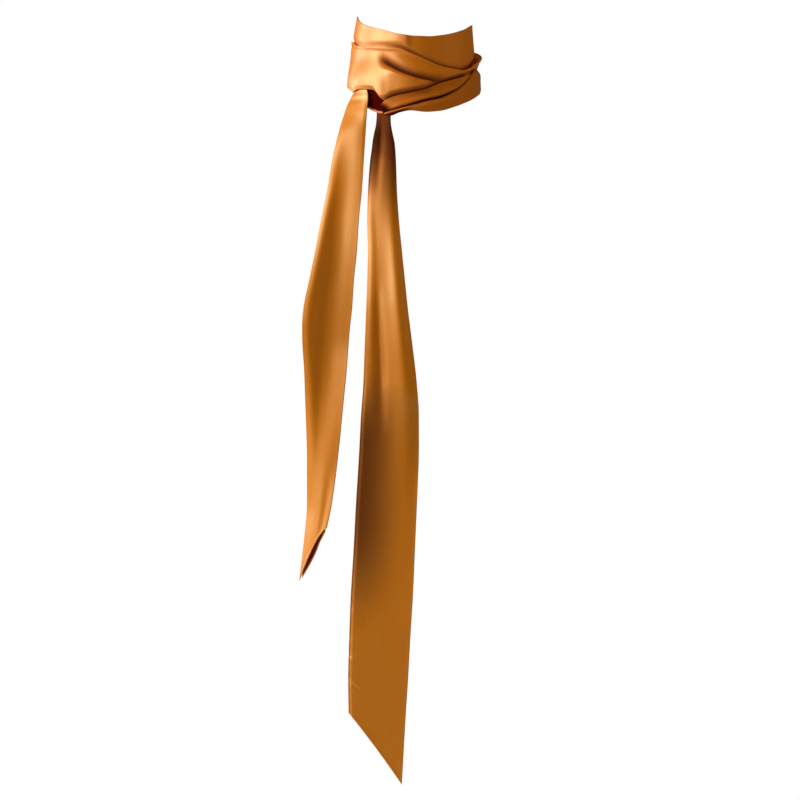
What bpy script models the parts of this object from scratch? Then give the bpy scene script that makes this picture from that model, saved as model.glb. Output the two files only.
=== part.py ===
# A skinny silk scarf, wound round the neck and knotted at the front, with two hanging tails.
# The real one is a single long strip of satin, sewn into a flat tube with slanted ends.
# The tables below are in millimetres. Angles go round the neck in degrees: 0 is the front (-Y),
# 90 is +X, and 180 is the back. A lift is the distance out from the neck hollow.

import math
from collections import namedtuple

import bmesh
import bpy

MM = 0.001

# Driving sizes, in millimetres
WALL = 1.3
PLAY = 0.35
LAYER = WALL + PLAY
BUNDLE_WALL = 2.4
ANGLE_STEP = 5.0
FULL_TURN = 360.0

# How finely each wall is divided, across its width
INNER_STEPS = 6
OUTER_STEPS = 13
STRAND_STEPS = 5
TUCK_STEPS = 7
SHORT_TAIL_STEPS = 10
LONG_TAIL_STEPS = 12
MOUTH_STEPS = 7

# The neck hollow: one row for each level section
Neck = namedtuple("Neck", "height half_breadth half_depth shift")
NECK = [
    Neck(-70, 61.0, 62.4, 0.6),
    Neck(-30, 59.2, 60.4, 0.6),
    Neck(6, 56.2, 57.3, 0.9),
    Neck(40, 52.0, 53.0, 2.4),
]

# The inner turn: the smooth first band, which shows above the others
Band = namedtuple("Band", "angle top bottom")
INNER_TURN = [
    Band(-180, 23.8, -34.0),
    Band(-135, 29.0, -32.0),
    Band(-105, 35.0, -30.5),
    Band(-91, 36.9, -30.0),
    Band(-80, 34.0, -30.5),
    Band(-69, 29.4, -33.0),
    Band(-54, 23.6, -38.0),
    Band(-41, 20.0, -42.0),
    Band(-28, 16.2, -45.0),
    Band(-13, 11.8, -46.5),
    Band(0, 9.8, -47.0),
    Band(13, 9.6, -46.5),
    Band(25, 11.2, -45.0),
    Band(37, 13.8, -43.0),
    Band(55, 19.2, -38.0),
    Band(78, 26.6, -31.0),
    Band(91, 28.4, -30.0),
    Band(110, 26.0, -30.5),
    Band(135, 23.4, -32.0),
    Band(180, 23.8, -34.0),
]

# The two gathered strands that cross the front, from the knot round to the back left
Strand = namedtuple("Strand", "angle top bottom lift puff")
CROSSING_BAND = [
    Strand(-28, -55.8, -59.2, 4.4, 0.0),
    Strand(-26, -53.2, -60.8, 4.5, 0.2),
    Strand(-23, -50.2, -61.0, 4.6, 0.5),
    Strand(-15, -47.0, -60.5, 4.4, 0.9),
    Strand(-3, -44.2, -59.0, 4.0, 1.1),
    Strand(11, -40.2, -57.0, 3.6, 1.1),
    Strand(25, -33.9, -53.0, 3.4, 0.9),
    Strand(38, -29.5, -49.0, 3.3, 0.6),
    Strand(52, -25.0, -43.0, 3.3, 0.3),
    Strand(70, -19.5, -38.0, 3.3, 0.0),
    Strand(90, -18.0, -33.0, 3.3, 0.0),
    Strand(105, -11.0, -31.0, 3.3, 0.2),
    Strand(120, -4.0, -31.0, 3.3, 0.6),
    Strand(150, 5.0, -31.0, 3.3, 0.8),
    Strand(175, 9.0, -31.0, 3.3, 0.6),
    Strand(198, 6.0, -27.0, 3.5, 0.3),
    Strand(214, -2.0, -21.0, 3.7, 0.1),
    Strand(227, -9.5, -14.0, 3.8, 0.0),
]
LOWER_STRAND = [
    Strand(-24, -62.8, -65.4, 0.0, 0.0),
    Strand(-18, -61.2, -65.9, 0.0, 0.4),
    Strand(-10, -58.9, -62.8, 0.0, 0.9),
    Strand(-2, -56.3, -61.2, 0.0, 1.1),
    Strand(10, -52.0, -62.4, 0.0, 1.5),
    Strand(22, -48.5, -61.0, 0.0, 1.7),
    Strand(36, -41.0, -56.2, 0.0, 1.6),
    Strand(48, -32.4, -51.3, 0.0, 1.3),
    Strand(56, -25.6, -48.0, 0.0, 1.0),
    Strand(66, -18.3, -43.6, 0.0, 0.7),
    Strand(78, -15.8, -39.8, 0.0, 0.4),
    Strand(90, -15.6, -35.9, 0.0, 0.3),
    Strand(105, -13.0, -34.5, 0.0, 0.5),
    Strand(120, -9.0, -34.0, 0.0, 1.1),
    Strand(150, -3.0, -35.0, 0.0, 1.2),
    Strand(175, 1.0, -35.0, 0.0, 1.1),
    Strand(198, -3.0, -34.5, 0.0, 0.6),
    Strand(214, -11.0, -31.0, 0.0, 0.2),
    Strand(224, -19.0, -26.0, 0.0, 0.0),
]

# The outer turn: spread wide over the left of the neck and gathered at its right, where the
# upper edge stands off. The two strands lie on it and flatten out into it at the back left.
OuterTurn = namedtuple("OuterTurn", "angle top bottom full top_flare bottom_flare")
OUTER_TURN = [
    OuterTurn(-180, 18.0, -33.0, 0.3, 0.0, 0.0),
    OuterTurn(-150, 18.5, -35.0, 0.5, 0.0, 0.0),
    OuterTurn(-122, 16.5, -34.0, 0.6, 0.0, 0.0),
    OuterTurn(-100, 13.5, -31.5, 0.1, 0.0, 0.0),
    OuterTurn(-88, 12.0, -29.9, 0.0, 0.0, 0.2),
    OuterTurn(-77, 10.5, -31.5, 0.1, 0.0, 2.0),
    OuterTurn(-65, 5.6, -36.5, 0.5, 0.0, 4.7),
    OuterTurn(-57, 3.8, -39.8, 0.7, 0.0, 4.8),
    OuterTurn(-51, 2.8, -38.2, 0.9, 0.0, 4.8),
    OuterTurn(-40, 1.6, -39.3, 1.6, 0.0, 4.5),
    OuterTurn(-34, 0.6, -40.6, 2.5, 0.0, 3.3),
    OuterTurn(-30, 0.2, -44.6, 3.6, 0.0, 2.7),
    OuterTurn(-26, -0.3, -49.4, 4.8, 0.0, 1.8),
    OuterTurn(-21, -0.8, -54.0, 5.6, 0.0, 0.8),
    OuterTurn(-14, -1.5, -54.0, 6.3, 0.0, 0.0),
    OuterTurn(-1, -7.0, -50.0, 7.4, 0.0, 0.0),
    OuterTurn(11, -12.6, -48.0, 6.4, 0.0, 0.0),
    OuterTurn(22, -17.2, -46.0, 4.9, 0.0, 0.0),
    OuterTurn(31, -19.2, -44.0, 3.8, 0.2, 0.0),
    OuterTurn(46, -20.3, -41.0, 3.0, 0.8, 0.0),
    OuterTurn(58, -17.2, -37.0, 2.0, 1.8, 0.0),
    OuterTurn(69, -11.0, -33.0, 1.0, 3.6, 0.0),
    OuterTurn(80, -6.5, -31.0, 0.2, 5.2, 0.0),
    OuterTurn(90, -2.0, -30.0, 0.0, 6.0, 0.0),
    OuterTurn(103, 3.0, -30.0, 0.0, 5.6, 0.0),
    OuterTurn(118, 7.5, -30.0, 0.2, 3.2, 0.0),
    OuterTurn(135, 11.5, -30.0, 0.3, 0.8, 0.0),
    OuterTurn(150, 14.5, -30.0, 0.3, 0.0, 0.0),
    OuterTurn(180, 18.0, -33.0, 0.3, 0.0, 0.0),
]
BOTTOM_FLARE_HOLDS = 6.0
BOTTOM_FLARE_REACH = 32.0
CREASE_CLEARANCE = 1.5

# The long trough that runs down across the outer turn to the crossing band
Trough = namedtuple("Trough", "angle height depth")
FRONT_TROUGH = [
    Trough(-35, -5.0, 0.0),
    Trough(-27, -10.5, 1.8),
    Trough(-16, -17.5, 3.2),
    Trough(-3, -24.5, 3.6),
    Trough(6, -28.0, 3.2),
    Trough(16, -30.2, 2.2),
    Trough(26, -31.0, 1.0),
    Trough(34, -31.0, 0.0),
]
TROUGH_HALF_WIDTH = 4.6

# The end of the crossing band, turned in behind the short tail
Tuck = namedtuple("Tuck", "angle top bottom")
KNOT_TUCK = [
    Tuck(-58, -36.0, -49.0),
    Tuck(-42, -36.0, -56.8),
    Tuck(-35, -38.0, -60.4),
    Tuck(-30, -43.0, -62.4),
    Tuck(-26, -50.8, -63.0),
]

# The hanging tails: a row for each level, with the left and right edges and their depths.
# A hollow sinks the middle of the width back, and a negative one swells it forward.
Tail = namedtuple("Tail", "drop left right left_depth right_depth hollow wall")
SHORT_TAIL = [
    Tail(35, -53.5, -41.5, -36, -48, -1.0, BUNDLE_WALL),
    Tail(47, -58.4, -41.2, -36, -52, -1.0, BUNDLE_WALL),
    Tail(54, -61.7, -41.9, -38, -54, -1.5, BUNDLE_WALL),
    Tail(62, -64.2, -42.5, -41, -57, -2.0, BUNDLE_WALL),
    Tail(78, -68.7, -43.4, -49, -61, -3.0, BUNDLE_WALL),
    Tail(107, -75.0, -45.1, -60, -70, -2.0, 2.0),
    Tail(136, -79.4, -46.8, -72, -79, -1.0, 1.6),
    Tail(164, -84.7, -49.5, -81, -86, 0.0, WALL),
    Tail(193, -90.0, -51.2, -88, -91, 1.0, WALL),
    Tail(220, -95.5, -53.9, -92, -93, 1.5, WALL),
    Tail(248, -100.9, -55.7, -95, -95, 1.5, WALL),
    Tail(262, -101.8, -57.3, -96, -96, 1.5, WALL),
    Tail(276, -101.6, -58.5, -96, -97, 1.5, WALL),
    Tail(304, -99.9, -60.5, -95, -101, 1.0, WALL),
    Tail(331, -99.0, -63.1, -93, -103, 0.0, WALL),
    Tail(386, -97.4, -68.6, -90, -105, -3.0, WALL),
    Tail(428, -97.4, -74.3, -88, -107, -3.5, WALL),
    Tail(455, -99.6, -79.8, -88, -106, -3.5, WALL),
    Tail(498, -104.5, -86.5, -88, -104, -2.0, WALL),
]
SHORT_TAIL_CUT_RIGHT = 449.0
SHORT_TAIL_CUT_LEFT = 498.0
SHORT_TAIL_CUT_SWEEP = 1.5

LONG_TAIL = [
    Tail(51, -34.9, -20.0, -56, -58, 0.0, BUNDLE_WALL),
    Tail(67, -34.9, -19.9, -55, -57, 0.0, BUNDLE_WALL),
    Tail(79, -36.7, -18.0, -55, -58, -0.5, BUNDLE_WALL),
    Tail(93, -37.6, -16.2, -58, -62, -1.0, 2.2),
    Tail(108, -39.4, -15.2, -64, -69, -2.0, 2.0),
    Tail(136, -41.2, -14.3, -76, -82, -2.0, 1.7),
    Tail(165, -42.0, -12.4, -84, -92, -1.0, 1.5),
    Tail(193, -41.3, -9.7, -90, -99, -0.5, WALL),
    Tail(221, -41.9, -6.9, -94, -103, 0.0, WALL),
    Tail(248, -42.8, -4.1, -97, -105, 0.0, WALL),
    Tail(276, -43.9, -0.6, -98, -106, 0.0, WALL),
    Tail(317, -45.5, 4.1, -100, -106, 1.0, WALL),
    Tail(345, -47.3, 5.9, -101, -101, 2.0, WALL),
    Tail(373, -48.5, 6.0, -102, -98, 3.0, WALL),
    Tail(428, -51.8, 4.1, -102, -97, 3.0, WALL),
    Tail(469, -54.0, 2.3, -102, -97, 2.5, WALL),
    Tail(510, -56.6, 0.5, -101, -99, 1.5, WALL),
    Tail(552, -58.4, -2.1, -100, -102, 0.0, WALL),
    Tail(589, -59.3, -4.1, -100, -102, 0.0, WALL),
    Tail(618, -58.9, -6.0, -100, -102, 0.0, WALL),
    Tail(685, -58.4, -9.8, -100, -102, 0.0, WALL),
]
LONG_TAIL_CUT_LEFT = 619.0
LONG_TAIL_CUT_RIGHT = 685.0
LONG_TAIL_CUT_SWEEP = 1.0

# Where each tail leaves the knot: it starts on the ring and falls clear of it
Seat = namedtuple("Seat", "left_angle right_angle lift leaves_at free_at")
SHORT_TAIL_SEAT = Seat(-59.0, -42.0, 4.65, 36.0, 46.0)
LONG_TAIL_SEAT = Seat(-34.0, -20.0, -0.15, 62.0, 92.0)

# Close rows of points where each tail turns out of the knot
SHORT_TAIL_KNOT_LEVELS = [35, 38, 41.5, 45, 49, 53.5, 59, 66]
LONG_TAIL_KNOT_LEVELS = [51, 56, 61, 66, 72, 79, 87]
SHORT_TAIL_HANGS_FROM = 75
LONG_TAIL_HANGS_FROM = 96

# Folds along the tails: from one level to the other, at a share of the width from the left
Fold = namedtuple("Fold", "from_drop to_drop from_share to_share half_width depth")
SHORT_TAIL_FOLDS = [
    Fold(110, 430, 0.14, 0.16, 0.15, -4.0),
    Fold(10, 430, 0.46, 0.56, 0.25, 2.6),
    Fold(380, 480, 0.80, 0.72, 0.16, 1.2),
]
LONG_TAIL_FOLDS = [
    Fold(20, 150, 0.45, 0.30, 0.14, 2.6),
    Fold(120, 360, 0.12, 0.14, 0.11, -3.2),
    Fold(215, 375, 0.28, 0.36, 0.11, 3.0),
    Fold(40, 480, 1.00, 1.00, 0.19, 6.0),
    Fold(140, 430, 0.80, 0.77, 0.20, -3.2),
]

# The back ply of the short tail's open end
MOUTH_TOP = 436.0
MOUTH_GAP_TOP = 0.4
MOUTH_GAP_END = 3.2
MOUTH_PLY_SWEEP = 1.15
MOUTH_SIDE_SHARES = (0.03, 0.91)


def smooth(rows, column, place):
    """Read one column between the rows, on a smooth curve that never overshoots."""
    places = [row[0] for row in rows]
    values = [getattr(row, column) for row in rows]
    if place <= places[0]:
        return values[0]
    if place >= places[-1]:
        return values[-1]
    spans = [b - a for a, b in zip(places, places[1:])]
    slopes = [(b - a) / span for a, b, span in zip(values, values[1:], spans)]

    def tangent(knot):
        if knot == 0:
            return slopes[0]
        if knot == len(slopes):
            return slopes[-1]
        before = slopes[knot - 1]
        after = slopes[knot]
        if before * after <= 0:
            return 0.0
        return 2 * before * after / (before + after)

    spot = 0
    while places[spot + 1] < place:
        spot += 1
    share = (place - places[spot]) / spans[spot]
    rest = 1 - share
    start = values[spot] * (1 + 2 * share) * rest * rest
    end = values[spot + 1] * (3 - 2 * share) * share * share
    lead_in = tangent(spot) * share * rest * rest
    lead_out = tangent(spot + 1) * share * share * rest
    return start + end + spans[spot] * (lead_in - lead_out)


def ease(value, low, high):
    """Go from 0 to 1 between low and high, softly at both ends."""
    share = min(1.0, max(0.0, (value - low) / (high - low)))
    return share * share * (3 - 2 * share)


def mix(first, second, share):
    return first + (second - first) * share


def neck_point(angle, height, lift):
    """A point at an angle and height round the neck, lifted out from its hollow."""
    turn = math.radians(angle)
    x = smooth(NECK, "shift", height) + (smooth(NECK, "half_breadth", height) + lift) * math.sin(turn)
    y = -(smooth(NECK, "half_depth", height) + lift) * math.cos(turn)
    return (x, y, height)


def clear_scene():
    for old in list(bpy.data.objects):
        bpy.data.objects.remove(old, do_unlink=True)


def satin(name, colour):
    material = bpy.data.materials.new(name + "_satin")
    material.use_nodes = True
    shader = material.node_tree.nodes["Principled BSDF"]
    shader.inputs["Base Color"].default_value = (*colour, 1.0)
    shader.inputs["Roughness"].default_value = 0.38
    shader.inputs["Metallic"].default_value = 0.0
    return material


def cloth_wall(name, outside, inside, colour, closed=False):
    """Make the closed wall between two grids of points, given column by column."""
    mesh = bmesh.new()
    columns = len(outside)
    rows = len(outside[0])
    skins = []
    for grid in (outside, inside):
        skins.append([[mesh.verts.new([c * MM for c in point]) for point in column] for column in grid])
    outer, inner = skins

    def quad(*corners):
        mesh.faces.new(corners)

    last = columns if closed else columns - 1
    for i in range(last):
        j = (i + 1) % columns
        for row in range(rows - 1):
            quad(outer[i][row], outer[j][row], outer[j][row + 1], outer[i][row + 1])
            quad(inner[j][row], inner[i][row], inner[i][row + 1], inner[j][row + 1])
        quad(inner[i][0], inner[j][0], outer[j][0], outer[i][0])
        quad(outer[i][-1], outer[j][-1], inner[j][-1], inner[i][-1])
    if not closed:
        for row in range(rows - 1):
            quad(inner[0][row], outer[0][row], outer[0][row + 1], inner[0][row + 1])
            quad(outer[-1][row], inner[-1][row], inner[-1][row + 1], outer[-1][row + 1])
    bmesh.ops.recalc_face_normals(mesh, faces=mesh.faces)
    data = bpy.data.meshes.new(name)
    mesh.to_mesh(data)
    mesh.free()
    data.shade_smooth()
    data.set_sharp_from_angle(angle=math.radians(50))
    data.materials.append(satin(name, colour))
    piece = bpy.data.objects.new(name, data)
    bpy.context.scene.collection.objects.link(piece)
    return piece


def levels(start, end, count):
    return [mix(start, end, i / count) for i in range(count + 1)]


def ring_angles(first, last):
    return levels(first, last, round((last - first) / ANGLE_STEP))


def neck_wall(name, angles, steps, bottom_of, top_of, lift_of, colour, closed=False):
    """A stretch that lies round the neck, in a number of steps from its foot to its top."""
    outside = []
    inside = []
    for angle in angles:
        foot = bottom_of(angle)
        head = top_of(angle)
        outer_column = []
        inner_column = []
        for step in range(steps + 1):
            height = mix(foot, head, step / steps)
            lift = lift_of(angle, height)
            outer_column.append(neck_point(angle, height, lift + WALL))
            inner_column.append(neck_point(angle, height, lift))
        outside.append(outer_column)
        inside.append(inner_column)
    return cloth_wall(name, outside, inside, colour, closed)


def inner_turn():
    """The first turn: a smooth band all round the neck, which shows above the others."""
    angles = ring_angles(INNER_TURN[0].angle, INNER_TURN[-1].angle)[:-1]
    neck_wall("inner_turn", angles, INNER_STEPS,
              lambda angle: smooth(INNER_TURN, "bottom", angle),
              lambda angle: smooth(INNER_TURN, "top", angle),
              lambda angle, height: 0.0, (0.58, 0.25, 0.05), closed=True)


def strand_lift(rows, angle, height, base):
    top = smooth(rows, "top", angle)
    bottom = smooth(rows, "bottom", angle)
    share = min(1.0, max(0.0, (height - bottom) / (top - bottom)))
    return base + smooth(rows, "puff", angle) * math.sin(math.pi * share)


def outer_lift(angle, height):
    """The outer turn lies on the inner one, swells over the front and dips in one long trough."""
    top = smooth(OUTER_TURN, "top", angle)
    own_foot = smooth(OUTER_TURN, "bottom", angle)
    foot = own_foot
    if angle > CROSSING_BAND[0].angle:
        foot = smooth(CROSSING_BAND, "top", angle) + CREASE_CLEARANCE
    elif angle < CROSSING_BAND[-1].angle - FULL_TURN:
        foot = smooth(CROSSING_BAND, "top", angle + FULL_TURN) + CREASE_CLEARANCE
    share = min(1.0, max(0.0, (height - foot) / (top - foot)))
    swell = smooth(OUTER_TURN, "full", angle) * math.sin(math.pi * share)
    depth = smooth(FRONT_TROUGH, "depth", angle)
    away = (height - smooth(FRONT_TROUGH, "height", angle)) / TROUGH_HALF_WIDTH
    trough = depth * math.exp(-away * away)
    flare = smooth(OUTER_TURN, "top_flare", angle) * share
    near_foot = 1 - ease(height - own_foot, BOTTOM_FLARE_HOLDS, BOTTOM_FLARE_REACH)
    flare += smooth(OUTER_TURN, "bottom_flare", angle) * near_foot
    return LAYER + max(0.0, swell - trough) + flare


def outer_turn():
    """The second turn, which lies on the first all round the neck."""
    angles = ring_angles(OUTER_TURN[0].angle, OUTER_TURN[-1].angle)[:-1]
    neck_wall("outer_turn", angles, OUTER_STEPS,
              lambda angle: smooth(OUTER_TURN, "bottom", angle),
              lambda angle: smooth(OUTER_TURN, "top", angle),
              outer_lift, (0.55, 0.22, 0.04), closed=True)


def crossing_band():
    """The upper of the two gathered strands that cross the front."""
    angles = ring_angles(CROSSING_BAND[0].angle, CROSSING_BAND[-1].angle)
    neck_wall("crossing_band", angles, STRAND_STEPS,
              lambda angle: smooth(CROSSING_BAND, "bottom", angle),
              lambda angle: smooth(CROSSING_BAND, "top", angle),
              lambda angle, height: strand_lift(CROSSING_BAND, angle, height,
                                                smooth(CROSSING_BAND, "lift", angle)),
              (0.50, 0.19, 0.03))


def lower_strand():
    """The lower strand, which lies on the crossing band and leads to the long tail."""
    def base_lift(angle):
        under = smooth(CROSSING_BAND, "lift", angle) + smooth(CROSSING_BAND, "puff", angle)
        return under + LAYER

    angles = ring_angles(LOWER_STRAND[0].angle, LOWER_STRAND[-1].angle)
    neck_wall("lower_strand", angles, STRAND_STEPS,
              lambda angle: smooth(LOWER_STRAND, "bottom", angle),
              lambda angle: smooth(LOWER_STRAND, "top", angle),
              lambda angle, height: strand_lift(LOWER_STRAND, angle, height, base_lift(angle)),
              (0.45, 0.16, 0.02))


def knot_tuck():
    """The short piece of the knot that passes behind the short tail."""
    angles = levels(KNOT_TUCK[0].angle, KNOT_TUCK[-1].angle, TUCK_STEPS)
    neck_wall("knot_tuck", angles, STRAND_STEPS,
              lambda angle: smooth(KNOT_TUCK, "bottom", angle),
              lambda angle: smooth(KNOT_TUCK, "top", angle),
              lambda angle, height: LAYER, (0.36, 0.10, 0.02))


def fold_depth(folds, drop, share):
    """How far the folds sink the tail back at one level and share of its width."""
    total = 0.0
    for fold in folds:
        along = (drop - fold.from_drop) / (fold.to_drop - fold.from_drop)
        if 0 < along < 1:
            away = (share - mix(fold.from_share, fold.to_share, along)) / fold.half_width
            total += fold.depth * math.sin(math.pi * along) * math.exp(-away * away)
    return total


def tail_point(rows, folds, seat, drop, share):
    """The middle of the tail's wall at one level and share of its width from the left."""
    left = smooth(rows, "left", drop)
    right = smooth(rows, "right", drop)
    depth = mix(smooth(rows, "left_depth", drop), smooth(rows, "right_depth", drop), share)
    depth += smooth(rows, "hollow", drop) * math.sin(math.pi * share)
    depth += fold_depth(folds, drop, share)
    hanging = (mix(left, right, share), depth, -drop)
    held = neck_point(mix(seat.left_angle, seat.right_angle, share), -drop, seat.lift)
    free = ease(drop, seat.leaves_at, seat.free_at)
    return tuple(mix(a, b, free) for a, b in zip(held, hanging))


def side_step(rows, folds, seat, drop, share):
    """The level direction across the wall, away from the wearer."""
    reach = 0.02
    before = tail_point(rows, folds, seat, drop, max(0.0, share - reach))
    after = tail_point(rows, folds, seat, drop, min(1.0, share + reach))
    along_x = after[0] - before[0]
    along_y = after[1] - before[1]
    length = math.hypot(along_x, along_y)
    return (along_y / length, -along_x / length)


def tail_wall(name, rows, folds, seat, shares, drops_of, colour, offset=None):
    """A hanging tail; offset moves the middle of the wall out, for a ply behind another."""
    outside = []
    inside = []
    for share in shares:
        outer_column = []
        inner_column = []
        for drop in drops_of(share):
            x, y, z = tail_point(rows, folds, seat, drop, share)
            out_x, out_y = side_step(rows, folds, seat, drop, share)
            half = smooth(rows, "wall", drop) / 2
            shift = offset(drop, share) if offset else 0.0
            outer_column.append((x + out_x * (shift + half), y + out_y * (shift + half), z))
            inner_column.append((x + out_x * (shift - half), y + out_y * (shift - half), z))
        outside.append(outer_column)
        inside.append(inner_column)
    return cloth_wall(name, outside, inside, colour)


def cut_drop(left_drop, right_drop, sweep, share):
    """Level of the slanted cut at a share of the width from the left."""
    if right_drop < left_drop:
        return right_drop + (left_drop - right_drop) * (1 - share) ** sweep
    return left_drop + (right_drop - left_drop) * share ** sweep


def short_tail():
    """The short tail, which comes out from under the outer turn and ends in an open slant."""
    def drops_of(share):
        end = cut_drop(SHORT_TAIL_CUT_LEFT, SHORT_TAIL_CUT_RIGHT, SHORT_TAIL_CUT_SWEEP, share)
        return SHORT_TAIL_KNOT_LEVELS + levels(SHORT_TAIL_HANGS_FROM, end, 28)

    tail_wall("short_tail", SHORT_TAIL, SHORT_TAIL_FOLDS, SHORT_TAIL_SEAT,
              levels(0.0, 1.0, SHORT_TAIL_STEPS), drops_of, (0.62, 0.28, 0.07))


def short_tail_back_ply():
    """The back ply of the short tail's open end, which hangs a little behind the front one."""
    first, last = MOUTH_SIDE_SHARES

    def end_of(share):
        return cut_drop(SHORT_TAIL_CUT_LEFT, SHORT_TAIL_CUT_RIGHT, MOUTH_PLY_SWEEP, share)

    def offset(drop, share):
        open_share = ease(drop, MOUTH_TOP, end_of(share))
        across = math.sin(math.pi * (share - first) / (last - first))
        gap = MOUTH_GAP_TOP + (MOUTH_GAP_END - MOUTH_GAP_TOP) * open_share * across
        return -(WALL + gap)

    tail_wall("short_tail_back_ply", SHORT_TAIL, SHORT_TAIL_FOLDS, SHORT_TAIL_SEAT,
              levels(first, last, MOUTH_STEPS), lambda share: levels(MOUTH_TOP, end_of(share), 8),
              (0.58, 0.25, 0.06), offset)


def long_tail():
    """The long tail, which hangs from behind the lower strand and ends in a slant."""
    def drops_of(share):
        end = cut_drop(LONG_TAIL_CUT_LEFT, LONG_TAIL_CUT_RIGHT, LONG_TAIL_CUT_SWEEP, share)
        return LONG_TAIL_KNOT_LEVELS + levels(LONG_TAIL_HANGS_FROM, end, 38)

    tail_wall("long_tail", LONG_TAIL, LONG_TAIL_FOLDS, LONG_TAIL_SEAT,
              levels(0.0, 1.0, LONG_TAIL_STEPS), drops_of, (0.50, 0.20, 0.03))


clear_scene()
inner_turn()
outer_turn()
crossing_band()
lower_strand()
knot_tuck()
short_tail()
short_tail_back_ply()
long_tail()
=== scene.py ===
import math
from collections import namedtuple

import bpy
import numpy as np
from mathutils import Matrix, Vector


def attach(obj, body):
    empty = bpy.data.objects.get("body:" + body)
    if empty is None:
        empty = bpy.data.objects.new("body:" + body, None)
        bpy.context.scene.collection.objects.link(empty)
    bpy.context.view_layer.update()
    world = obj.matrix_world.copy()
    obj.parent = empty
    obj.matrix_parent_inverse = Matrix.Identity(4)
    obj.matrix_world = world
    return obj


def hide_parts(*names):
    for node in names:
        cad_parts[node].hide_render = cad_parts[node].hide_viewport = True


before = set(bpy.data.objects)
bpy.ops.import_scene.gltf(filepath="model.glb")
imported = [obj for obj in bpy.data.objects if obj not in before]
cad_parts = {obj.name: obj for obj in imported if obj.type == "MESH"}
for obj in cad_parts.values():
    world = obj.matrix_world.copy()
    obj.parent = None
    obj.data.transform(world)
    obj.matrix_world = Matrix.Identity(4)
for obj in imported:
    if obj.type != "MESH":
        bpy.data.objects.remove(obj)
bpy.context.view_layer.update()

# The view
# The scarf hangs in a white studio, seen from straight in front at the middle of its height. Soft
# boxes light it from the left, in front and behind, and weak ones from above, the right and the
# front. The floor lies as far below as when the scarf is worn. Sizes here are in metres.

EYE = Vector((-0.0115, -2.4, -0.3312))
LENS = 112.5
SENSOR_WIDTH = 36.0
SCARF_MIDDLE = Vector((0, 0, -0.3))
DAYLIGHT = (1.0, 0.97, 0.93)
WARM_LIGHT = (1.0, 0.93, 0.84)
GOLDEN_LIGHT = (1.0, 0.88, 0.70)
STUDIO_WHITE = (1.0, 1.0, 1.0, 1.0)
ROOM_GLOW = (1.0, 0.82, 0.38, 1.0)
ROOM_GLOW_STRENGTH = 0.12
FLOOR_HEIGHT = -1.42
FLOOR_SIDE = 7.0
FLOOR_ROUGHNESS = 0.7
FLOOR_GRAIN = 3.0
FLOOR_TONES = ((0.86, 0.86, 0.85, 1), (0.90, 0.90, 0.89, 1))

eye_data = bpy.data.cameras.new("front_view")
eye_data.lens = LENS
eye_data.sensor_width = SENSOR_WIDTH
eye = bpy.data.objects.new("front_view", eye_data)
eye.location = EYE
eye.rotation_euler = (math.radians(90), 0, 0)
bpy.context.scene.collection.objects.link(eye)
bpy.context.scene.camera = eye
bpy.context.scene.view_settings.view_transform = "Standard"


def soft_light(name, place, size, watts, colour, glints=True, fills=True):
    """A square soft box that shines on the scarf, as glints, as fill or as both."""
    light = bpy.data.lights.new(name, "AREA")
    light.shape = "SQUARE"
    light.size = size
    light.energy = watts
    light.color = colour
    box = bpy.data.objects.new(name, light)
    box.location = place
    box.rotation_euler = (SCARF_MIDDLE - Vector(place)).to_track_quat("-Z", "Y").to_euler()
    box.visible_glossy = glints
    box.visible_diffuse = fills
    bpy.context.scene.collection.objects.link(box)


soft_light("left_soft_box", (-2.70, -0.76, 1.05), 1.6, 92.0, DAYLIGHT)
soft_light("left_glow", (-1.85, -1.4, 0.75), 1.4, 14.0, DAYLIGHT, fills=False)
soft_light("top_light", (-0.4, -0.95, 2.6), 1.2, 22.0, WARM_LIGHT, glints=False)
soft_light("left_rim", (-2.33, 0.94, 0.4), 1.2, 34.0, DAYLIGHT)
soft_light("right_fill", (2.4, -0.6, 0.6), 1.6, 15.0, GOLDEN_LIGHT, glints=False)
soft_light("front_fill", (-0.9, -2.7, 0.5), 1.6, 6.0, WARM_LIGHT, glints=False)

world = bpy.data.worlds.new("white_studio")
bpy.context.scene.world = world
world.use_nodes = True
sky = world.node_tree
sky.nodes.clear()
seen = sky.nodes.new("ShaderNodeBackground")
seen.inputs["Color"].default_value = STUDIO_WHITE
lit = sky.nodes.new("ShaderNodeBackground")
lit.inputs["Color"].default_value = ROOM_GLOW
lit.inputs["Strength"].default_value = ROOM_GLOW_STRENGTH
ray = sky.nodes.new("ShaderNodeLightPath")
either = sky.nodes.new("ShaderNodeMixShader")
studio = sky.nodes.new("ShaderNodeOutputWorld")
sky.links.new(ray.outputs["Is Camera Ray"], either.inputs["Fac"])
sky.links.new(lit.outputs["Background"], either.inputs[1])
sky.links.new(seen.outputs["Background"], either.inputs[2])
sky.links.new(either.outputs["Shader"], studio.inputs["Surface"])

floor_mesh = bpy.data.meshes.new("pale_floor")
side = FLOOR_SIDE / 2
floor_mesh.from_pydata([(-side, -side, 0), (side, -side, 0), (side, side, 0), (-side, side, 0)],
                       [], [(0, 1, 2, 3)])
floor = bpy.data.objects.new("pale_floor", floor_mesh)
floor.location = (0, 0, FLOOR_HEIGHT)
bpy.context.scene.collection.objects.link(floor)
floor_paint = bpy.data.materials.new("pale_floor_paint")
floor_paint.use_nodes = True
paint = floor_paint.node_tree.nodes["Principled BSDF"]
paint.inputs["Roughness"].default_value = FLOOR_ROUGHNESS
grain = floor_paint.node_tree.nodes.new("ShaderNodeTexNoise")
grain.inputs["Scale"].default_value = FLOOR_GRAIN
tones = floor_paint.node_tree.nodes.new("ShaderNodeValToRGB")
for stop, tone in zip(tones.color_ramp.elements, FLOOR_TONES):
    stop.color = tone
floor_paint.node_tree.links.new(grain.outputs["Fac"], tones.inputs["Fac"])
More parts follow.
